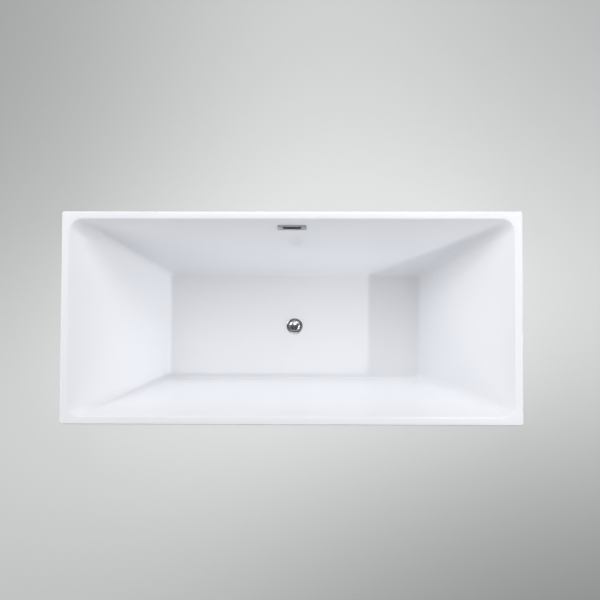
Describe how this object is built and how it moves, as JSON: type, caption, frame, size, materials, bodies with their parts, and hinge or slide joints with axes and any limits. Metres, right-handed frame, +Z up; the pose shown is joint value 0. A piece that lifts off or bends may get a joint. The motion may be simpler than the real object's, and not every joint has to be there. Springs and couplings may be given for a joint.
{
  "type": "freestanding bathtub",
  "caption": "Rectangular freestanding acrylic bathtub: flat rim, sloping hipped walls, centre drain with a raised plug, slotted overflow, tapered skirt, steel frame on screw feet",
  "frame": {"origin": "on the ground, under the centre of the tub", "axes": "+X along the tub, +Y towards the long wall with the overflow, +Z up"},
  "size_m": [1.7, 0.787, 0.58],
  "materials": {
    "acrylic": "high gloss white sanitary acrylic",
    "fibreglass": "rough sprayed glass-fibre backing",
    "board": "bare chipboard",
    "galvanised": "galvanised steel",
    "stainless": "zinc-plated steel",
    "chrome": "polished chrome",
    "rubber": "black rubber",
    "pipe_plastic": "white waste plastic",
    "foot_plastic": "black nylon"
  },
  "bodies": {
    "tub": {"basin": "acrylic", "skirt": "acrylic", "basin_backing": "fibreglass", "floor_board": "board", "frame_rail_front": "galvanised", "frame_rail_back": "galvanised", "frame_end_left": "galvanised", "frame_end_right": "galvanised", "frame_crossbar_1": "galvanised", "frame_crossbar_2": "galvanised", "frame_crossbar_3": "galvanised", "frame_crossbar_4": "galvanised", "skirt_bracket_back_left": "galvanised", "skirt_bracket_back_right": "galvanised", "skirt_bracket_front_left": "galvanised", "skirt_bracket_front_right": "galvanised", "skirt_bracket_end_left": "galvanised", "skirt_bracket_end_right": "galvanised", "foot_1_lock_nut": "stainless", "foot_2_lock_nut": "stainless", "foot_3_lock_nut": "stainless", "foot_4_lock_nut": "stainless", "foot_5_lock_nut": "stainless", "foot_6_lock_nut": "stainless", "drain_flange": "chrome", "overflow_cover": "chrome", "overflow_screw_left": "chrome", "overflow_screw_right": "chrome", "drain_seal": "rubber", "drain_gasket": "rubber", "overflow_gasket": "rubber", "waste_body": "pipe_plastic", "outlet_nut": "pipe_plastic", "outlet_tailpiece": "pipe_plastic", "overflow_housing": "pipe_plastic", "overflow_nut_top": "pipe_plastic", "overflow_drop_pipe": "pipe_plastic", "overflow_elbow": "pipe_plastic", "overflow_run_pipe": "pipe_plastic", "overflow_nut_low": "pipe_plastic", "plug_guide": "foot_plastic"},
    "plug": {"plug_cap": "chrome", "plug_seal": "rubber", "plug_stem": "stainless"},
    "foot_1": {"foot_1_pad": "foot_plastic"},
    "stud_1": {"foot_1_stud": "stainless"},
    "foot_2": {"foot_2_pad": "foot_plastic"},
    "stud_2": {"foot_2_stud": "stainless"},
    "foot_3": {"foot_3_pad": "foot_plastic"},
    "stud_3": {"foot_3_stud": "stainless"},
    "foot_4": {"foot_4_pad": "foot_plastic"},
    "stud_4": {"foot_4_stud": "stainless"},
    "foot_5": {"foot_5_pad": "foot_plastic"},
    "stud_5": {"foot_5_stud": "stainless"},
    "foot_6": {"foot_6_pad": "foot_plastic"},
    "stud_6": {"foot_6_stud": "stainless"}
  },
  "joints": [
    {"name": "plug_press", "type": "slide", "parent": "tub", "child": "plug", "axis": [0, 0, 1], "range_m": [-0.0088, 0], "stiffness_N_per_m": 600, "springref_m": 0.004},
    {"name": "foot_1_height", "type": "slide", "parent": "tub", "child": "foot_1", "axis": [0, 0, 1], "range_m": [-0.015, 0.01]},
    {"name": "foot_2_height", "type": "slide", "parent": "tub", "child": "foot_2", "axis": [0, 0, 1], "range_m": [-0.015, 0.01]},
    {"name": "foot_3_height", "type": "slide", "parent": "tub", "child": "foot_3", "axis": [0, 0, 1], "range_m": [-0.015, 0.01]},
    {"name": "foot_4_height", "type": "slide", "parent": "tub", "child": "foot_4", "axis": [0, 0, 1], "range_m": [-0.015, 0.01]},
    {"name": "foot_5_height", "type": "slide", "parent": "tub", "child": "foot_5", "axis": [0, 0, 1], "range_m": [-0.015, 0.01]},
    {"name": "foot_6_height", "type": "slide", "parent": "tub", "child": "foot_6", "axis": [0, 0, 1], "range_m": [-0.015, 0.01]},
    {"name": "stud_1_turn", "type": "hinge", "parent": "foot_1", "child": "stud_1", "pos_m": [-0.68, -0.29, 0.06], "axis": [0, 0, 1], "range_deg": [-3090, 2060]},
    {"name": "stud_2_turn", "type": "hinge", "parent": "foot_2", "child": "stud_2", "pos_m": [0.085, -0.29, 0.06], "axis": [0, 0, 1], "range_deg": [-3090, 2060]},
    {"name": "stud_3_turn", "type": "hinge", "parent": "foot_3", "child": "stud_3", "pos_m": [0.68, -0.29, 0.06], "axis": [0, 0, 1], "range_deg": [-3090, 2060]},
    {"name": "stud_4_turn", "type": "hinge", "parent": "foot_4", "child": "stud_4", "pos_m": [-0.68, 0.29, 0.06], "axis": [0, 0, 1], "range_deg": [-3090, 2060]},
    {"name": "stud_5_turn", "type": "hinge", "parent": "foot_5", "child": "stud_5", "pos_m": [0.085, 0.29, 0.06], "axis": [0, 0, 1], "range_deg": [-3090, 2060]},
    {"name": "stud_6_turn", "type": "hinge", "parent": "foot_6", "child": "stud_6", "pos_m": [0.68, 0.29, 0.06], "axis": [0, 0, 1], "range_deg": [-3090, 2060]}
  ],
  "couplings": [
    {"joint": "stud_1_turn", "follows": "foot_1_height", "rad_per_m": 3590.4},
    {"joint": "stud_2_turn", "follows": "foot_2_height", "rad_per_m": 3590.4},
    {"joint": "stud_3_turn", "follows": "foot_3_height", "rad_per_m": 3590.4},
    {"joint": "stud_4_turn", "follows": "foot_4_height", "rad_per_m": 3590.4},
    {"joint": "stud_5_turn", "follows": "foot_5_height", "rad_per_m": 3590.4},
    {"joint": "stud_6_turn", "follows": "foot_6_height", "rad_per_m": 3590.4}
  ]
}
